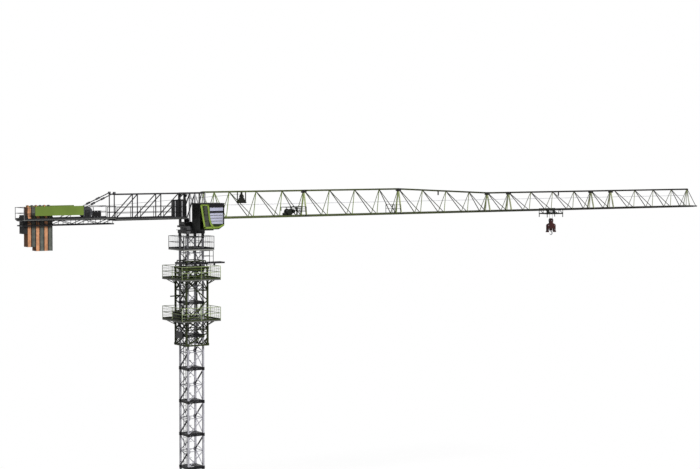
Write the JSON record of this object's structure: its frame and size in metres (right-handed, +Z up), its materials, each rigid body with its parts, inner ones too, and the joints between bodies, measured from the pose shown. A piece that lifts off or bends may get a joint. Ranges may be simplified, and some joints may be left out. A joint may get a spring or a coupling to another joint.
{
  "type": "flat-top tower crane, 1:2 scale model",
  "caption": "Flat-top tower crane on a lattice mast, with climbing cage, cab, ballasted counter-jib, and a long jib that carries a trolley and hook block.",
  "frame": {"origin": "on the mast's axis, on the underside of the foundation frame", "axes": "+X along the jib, +Z up, the cab on the -Y side"},
  "size_m": [36.225, 2.1375, 14.554],
  "materials": {
    "mast_paint": "semi-gloss light lilac grey",
    "dark_steel": "semi-gloss dark grey",
    "grey_machinery": "semi-gloss grey",
    "grey_railing": "semi-gloss grey",
    "deck_grating": "galvanised grating",
    "bearing_steel": "machined and oiled",
    "cage_paint": "semi-gloss olive",
    "lime_paint": "semi-gloss lime green",
    "green_board": "satin green",
    "orange_paint": "satin orange",
    "slab_grey": "satin grey",
    "trolley_paint": "semi-gloss dark green",
    "maroon_paint": "semi-gloss maroon",
    "forged_steel": "forged",
    "wire_rope": "stranded wire",
    "cab_glass": "tinted pane"
  },
  "bodies": {
    "mast": {"foundation_frame": "dark_steel", "mast_section_1": "mast_paint", "mast_section_2": "mast_paint", "mast_section_3": "mast_paint", "mast_section_4": "mast_paint", "mast_section_5": "mast_paint", "mast_section_6": "mast_paint", "mast_section_7": "mast_paint", "mast_section_8": "mast_paint", "mast_section_9": "mast_paint", "mast_ladder": "mast_paint", "mast_head": "dark_steel", "slewing_ring_lower": "bearing_steel", "platform_floors": "deck_grating", "mast_platform_railing": "grey_railing", "cage_frame": "cage_paint", "cage_railings": "lime_paint", "climbing_gear": "grey_machinery", "loading_beam": "dark_steel"},
    "upperworks": {"ballast_end_block": "dark_steel", "ballast_slabs_grey": "slab_grey", "ballast_slabs_orange": "orange_paint", "banner_boards": "green_board", "cab_frame": "dark_steel", "cab_glazing": "cab_glass", "cab_roof": "dark_steel", "cab_shell": "lime_paint", "counter_jib_deck": "dark_steel", "counter_jib_railing": "grey_railing", "counter_jib_truss": "dark_steel", "electric_cabinets": "grey_machinery", "hoist_motor": "grey_machinery", "hoist_winch_frame": "dark_steel", "jib_nose": "lime_paint", "jib_platforms": "grey_railing", "jib_rope": "wire_rope", "jib_section_1": "lime_paint", "jib_section_2": "lime_paint", "jib_section_3": "lime_paint", "jib_section_4": "lime_paint", "jib_section_5": "lime_paint", "jib_section_6": "lime_paint", "jib_section_7": "lime_paint", "jib_winch_frame": "dark_steel", "rope_guides": "dark_steel", "slewing_drives": "grey_machinery", "slewing_ring_upper": "bearing_steel", "tie_rods": "dark_steel", "tower_head": "dark_steel", "turntable": "dark_steel", "walkways": "deck_grating"},
    "trolley": {"trolley_frame": "trolley_paint", "trolley_wheels": "bearing_steel"},
    "hook_block": {"hook_block_frame": "maroon_paint", "hook_block_sheave": "bearing_steel", "rope_falls": "wire_rope"},
    "hook": {"hook": "forged_steel"},
    "hoist_drum": {"hoist_drum": "bearing_steel"},
    "trolley_drum": {"trolley_drum": "bearing_steel"}
  },
  "joints": [
    {"name": "slew", "type": "hinge", "parent": "mast", "child": "upperworks", "pos_m": [0, 0, 12.945], "axis": [0, 0, 1], "continuous": true},
    {"name": "trolley_travel", "type": "slide", "parent": "upperworks", "child": "trolley", "axis": [1, 0, 0], "range_m": [-17.35, 7.9]},
    {"name": "hoist", "type": "slide", "parent": "trolley", "child": "hook_block", "axis": [0, 0, 1], "range_m": [-11.6, 0], "deforming": ["rope_falls"]},
    {"name": "hook_swivel", "type": "hinge", "parent": "hook_block", "child": "hook", "pos_m": [19.35, 0, 12.5], "axis": [0, 0, 1], "continuous": true},
    {"name": "hoist_drum_spin", "type": "hinge", "parent": "upperworks", "child": "hoist_drum", "pos_m": [-4.85, 0, 13.74], "axis": [0, 1, 0], "continuous": true},
    {"name": "trolley_drum_spin", "type": "hinge", "parent": "upperworks", "child": "trolley_drum", "pos_m": [4.77, 0, 13.55], "axis": [0, 1, 0], "continuous": true}
  ],
  "couplings": [
    {"joint": "hoist_drum_spin", "follows": "hoist", "rad_per_m": -10.75},
    {"joint": "trolley_drum_spin", "follows": "trolley_travel", "rad_per_m": 11.6}
  ]
}
